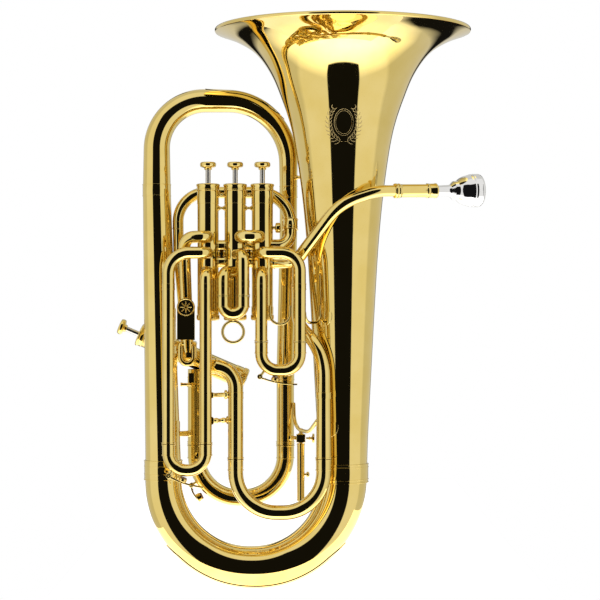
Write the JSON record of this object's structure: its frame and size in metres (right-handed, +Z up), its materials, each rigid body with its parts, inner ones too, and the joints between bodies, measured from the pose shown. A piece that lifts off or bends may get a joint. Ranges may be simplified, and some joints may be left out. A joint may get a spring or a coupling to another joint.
{
  "type": "euphonium",
  "caption": "Lacquered brass euphonium with an upright bell, top valves, a side compensating valve, pull-out slides and a silver-plated mouthpiece",
  "frame": {"origin": "Lowest point of the bottom bow, where the instrument rests on a lap or in a cradle", "axes": "+Z up along the bell's axis, +X towards the mouthpiece, -Y towards the valve slides"},
  "size_m": [0.4369, 0.3024, 0.6604],
  "materials": {
    "lacquered_brass": "polished, clear gold lacquer",
    "silver_plate": "polished silver plate",
    "piston_nickel": "lapped nickel silver",
    "spring_steel": "drawn wire"
  },
  "bodies": {
    "instrument": {"bell": "lacquered_brass", "bell_ferrule": "lacquered_brass", "bottom_bow": "lacquered_brass", "bow_ferrule": "lacquered_brass", "left_branch": "lacquered_brass", "top_bow": "lacquered_brass", "descending_branch": "lacquered_brass", "main_slide_sleeve": "lacquered_brass", "valve_1_casing": "lacquered_brass", "valve_1_top_cap": "lacquered_brass", "valve_1_bottom_cap": "lacquered_brass", "valve_1_spring": "spring_steel", "valve_2_casing": "lacquered_brass", "valve_2_top_cap": "lacquered_brass", "valve_2_bottom_cap": "lacquered_brass", "valve_2_spring": "spring_steel", "valve_3_casing": "lacquered_brass", "valve_3_top_cap": "lacquered_brass", "valve_3_bottom_cap": "lacquered_brass", "valve_3_spring": "spring_steel", "valve_4_casing": "lacquered_brass", "valve_4_top_cap": "lacquered_brass", "valve_4_bottom_cap": "lacquered_brass", "valve_4_spring": "spring_steel", "knuckles_2_3": "lacquered_brass", "knuckles_1_2": "lacquered_brass", "crossover_bow": "lacquered_brass", "valve_3_to_4_branch": "lacquered_brass", "compensating_arch": "lacquered_brass", "compensating_loop_1": "lacquered_brass", "compensating_loop_2": "lacquered_brass", "compensating_loop_3": "lacquered_brass", "slide_1_sleeves": "lacquered_brass", "slide_2_sleeves": "lacquered_brass", "slide_3_sleeves": "lacquered_brass", "slide_4_sleeve": "lacquered_brass", "slide_4_return": "lacquered_brass", "leadpipe": "lacquered_brass", "mouthpiece_receiver": "lacquered_brass", "hand_plate": "lacquered_brass"},
    "valve_1": {"valve_1_piston": "piston_nickel", "valve_1_button": "lacquered_brass"},
    "valve_2": {"valve_2_piston": "piston_nickel", "valve_2_button": "lacquered_brass"},
    "valve_3": {"valve_3_piston": "piston_nickel", "valve_3_button": "lacquered_brass"},
    "valve_4": {"valve_4_piston": "piston_nickel", "valve_4_button": "lacquered_brass"},
    "main_slide": {"main_tuning_slide": "lacquered_brass"},
    "slide_1": {"slide_1_bow": "lacquered_brass"},
    "slide_2": {"slide_2_bow": "lacquered_brass", "pull_ring": "lacquered_brass"},
    "slide_3": {"slide_3_bow": "lacquered_brass"},
    "slide_4": {"slide_4_bow": "lacquered_brass"},
    "water_key_1": {"water_key_1": "lacquered_brass"},
    "water_key_3": {"water_key_3": "lacquered_brass"},
    "water_key_main": {"water_key_main": "lacquered_brass"},
    "mouthpiece": {"mouthpiece": "silver_plate"},
    "stop_rod": {"stop_rod": "lacquered_brass"},
    "clamp_screw": {"clamp_screw": "lacquered_brass"}
  },
  "joints": [
    {"name": "valve_1_press", "type": "slide", "parent": "instrument", "child": "valve_1", "axis": [0, 0, -1], "range_m": [0, 0.016], "stiffness_N_per_m": 180, "springref_m": -0.016, "deforming": ["valve_1_spring"]},
    {"name": "valve_2_press", "type": "slide", "parent": "instrument", "child": "valve_2", "axis": [0, 0, -1], "range_m": [0, 0.016], "stiffness_N_per_m": 180, "springref_m": -0.016, "deforming": ["valve_2_spring"]},
    {"name": "valve_3_press", "type": "slide", "parent": "instrument", "child": "valve_3", "axis": [0, 0, -1], "range_m": [0, 0.016], "stiffness_N_per_m": 180, "springref_m": -0.016, "deforming": ["valve_3_spring"]},
    {"name": "valve_4_press", "type": "slide", "parent": "instrument", "child": "valve_4", "axis": [0.919, 0, -0.3943], "range_m": [0, 0.016], "stiffness_N_per_m": 180, "springref_m": -0.016, "deforming": ["valve_4_spring"]},
    {"name": "main_slide_pull", "type": "slide", "parent": "instrument", "child": "main_slide", "axis": [0, 0, -1], "range_m": [0, 0.045]},
    {"name": "slide_1_pull", "type": "slide", "parent": "instrument", "child": "slide_1", "axis": [0, 0, -1], "range_m": [0, 0.035]},
    {"name": "slide_2_pull", "type": "slide", "parent": "instrument", "child": "slide_2", "axis": [0, 0, -1], "range_m": [0, 0.012]},
    {"name": "slide_3_pull", "type": "slide", "parent": "instrument", "child": "slide_3", "axis": [0, 0, -1], "range_m": [0, 0.06]},
    {"name": "slide_4_pull", "type": "slide", "parent": "instrument", "child": "slide_4", "axis": [0, 0, -1], "range_m": [0, 0.05]},
    {"name": "water_key_1_open", "type": "hinge", "parent": "slide_1", "child": "water_key_1", "pos_m": [0.0034, -0.054, 0.252], "axis": [0, 1, 0], "range_deg": [0, 12], "stiffness_Nm_per_rad": 0.05, "springref_deg": -20.05},
    {"name": "water_key_3_open", "type": "hinge", "parent": "slide_3", "child": "water_key_3", "pos_m": [-0.102, -0.054, 0.1376], "axis": [0, 1, 0], "range_deg": [0, 12], "stiffness_Nm_per_rad": 0.05, "springref_deg": -20.05},
    {"name": "water_key_main_open", "type": "hinge", "parent": "main_slide", "child": "water_key_main", "pos_m": [-0.0805, 0.035, 0.1185], "axis": [0, 1, 0], "range_deg": [0, 12], "stiffness_Nm_per_rad": 0.05, "springref_deg": -20.05},
    {"name": "mouthpiece_pull", "type": "slide", "parent": "instrument", "child": "mouthpiece", "axis": [0.9405, 0.339, 0.0226], "range_m": [0, 0.026]},
    {"name": "stop_rod_set", "type": "slide", "parent": "instrument", "child": "stop_rod", "axis": [0, 0, -1], "range_m": [0, 0.01]},
    {"name": "clamp_screw_turn", "type": "hinge", "parent": "instrument", "child": "clamp_screw", "pos_m": [0.0569, 0.015, 0.176], "axis": [1, 0, 0], "continuous": true}
  ]
}
